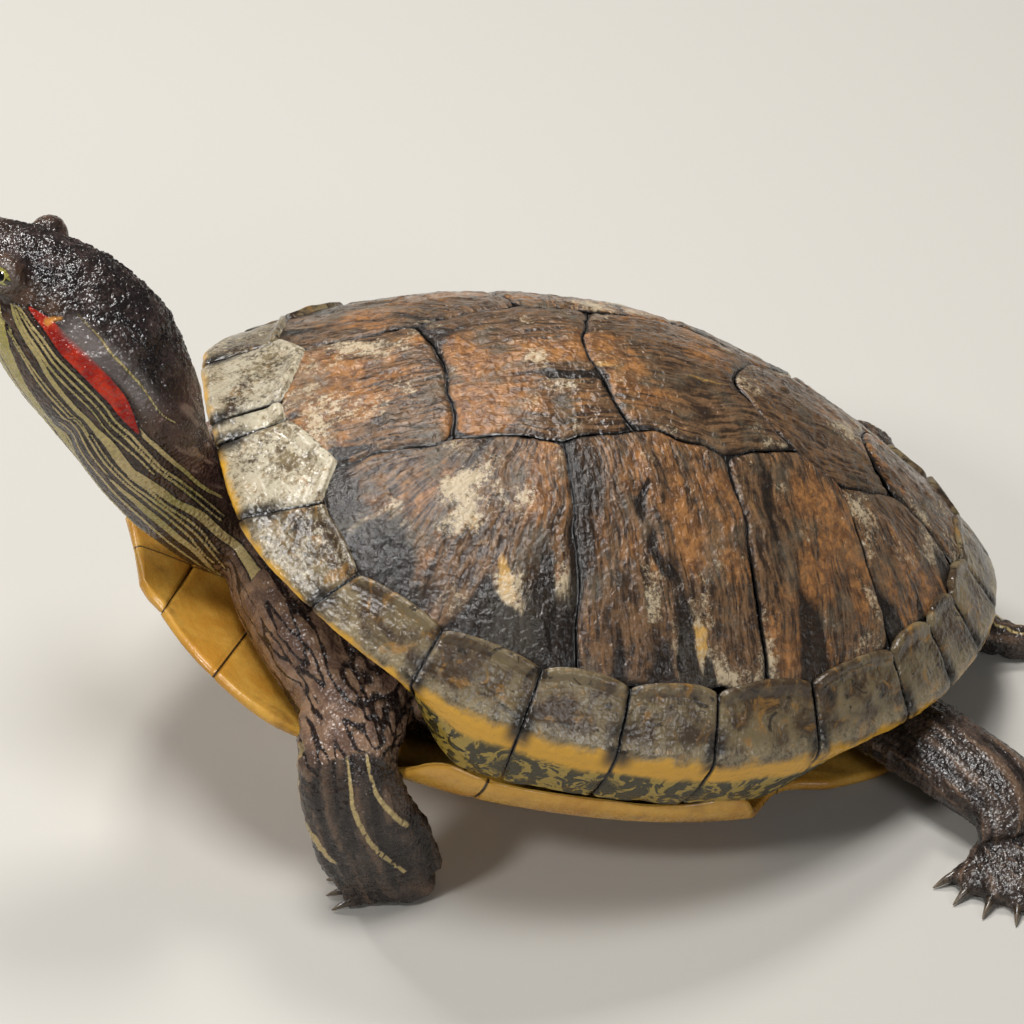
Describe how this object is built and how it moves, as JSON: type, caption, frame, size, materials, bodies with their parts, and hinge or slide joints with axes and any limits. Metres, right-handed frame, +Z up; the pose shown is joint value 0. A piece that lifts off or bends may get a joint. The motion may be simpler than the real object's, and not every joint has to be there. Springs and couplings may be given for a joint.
{
  "type": "red-eared slider turtle model",
  "caption": "Life-size still model of a red-eared slider turtle, propped up on its front feet with its neck stretched up and forward.",
  "frame": {"origin": "on the floor, under the middle of the animal's bounding box", "axes": "+Z up; the animal faces -Y and its left side is +X; millimetre model exported in metres"},
  "size_m": [0.2244, 0.2948, 0.1576],
  "materials": {
    "carapace_plates": "wet worn horn, brown and red-brown with black streaks and pale flaking patches",
    "rim_plates": "wet horn, olive brown with dark blotches and a yellow-orange lower edge",
    "belly_plates": "smooth horn, orange-yellow with dark smudges",
    "skin": "wet scaly skin, dark brown-grey with thin pale yellow stripes and a red patch behind each eye",
    "eye": "wet and clear over a dark yellow-green iris",
    "claw": "smooth dark horn"
  },
  "bodies": {
    "root": {"vertebral_1": "carapace_plates", "vertebral_2": "carapace_plates", "vertebral_3": "carapace_plates", "vertebral_4": "carapace_plates", "vertebral_5": "carapace_plates", "costal_left_1": "carapace_plates", "costal_left_2": "carapace_plates", "costal_left_3": "carapace_plates", "costal_left_4": "carapace_plates", "marginal_left_1": "rim_plates", "marginal_left_2": "rim_plates", "marginal_left_3": "rim_plates", "marginal_left_4": "rim_plates", "marginal_left_5": "rim_plates", "marginal_left_6": "rim_plates", "marginal_left_7": "rim_plates", "marginal_left_8": "rim_plates", "marginal_left_9": "rim_plates", "marginal_left_10": "rim_plates", "marginal_left_11": "rim_plates", "marginal_left_12": "rim_plates", "costal_right_1": "carapace_plates", "costal_right_2": "carapace_plates", "costal_right_3": "carapace_plates", "costal_right_4": "carapace_plates", "marginal_right_1": "rim_plates", "marginal_right_2": "rim_plates", "marginal_right_3": "rim_plates", "marginal_right_4": "rim_plates", "marginal_right_5": "rim_plates", "marginal_right_6": "rim_plates", "marginal_right_7": "rim_plates", "marginal_right_8": "rim_plates", "marginal_right_9": "rim_plates", "marginal_right_10": "rim_plates", "marginal_right_11": "rim_plates", "marginal_right_12": "rim_plates", "nuchal": "rim_plates", "plastron_gular": "belly_plates", "plastron_humeral": "belly_plates", "plastron_pectoral": "belly_plates", "plastron_abdominal": "belly_plates", "plastron_femoral": "belly_plates", "plastron_anal": "belly_plates", "trunk": "skin", "neck": "skin", "head": "skin", "lower_jaw": "skin", "eye_left": "eye", "eye_right": "eye", "leg_front_left": "skin", "foot_front_left": "skin", "leg_front_right": "skin", "foot_front_right": "skin", "leg_hind_left": "skin", "foot_hind_left": "skin", "leg_hind_right": "skin", "foot_hind_right": "skin", "tail": "skin"}
  },
  "joints": []
}
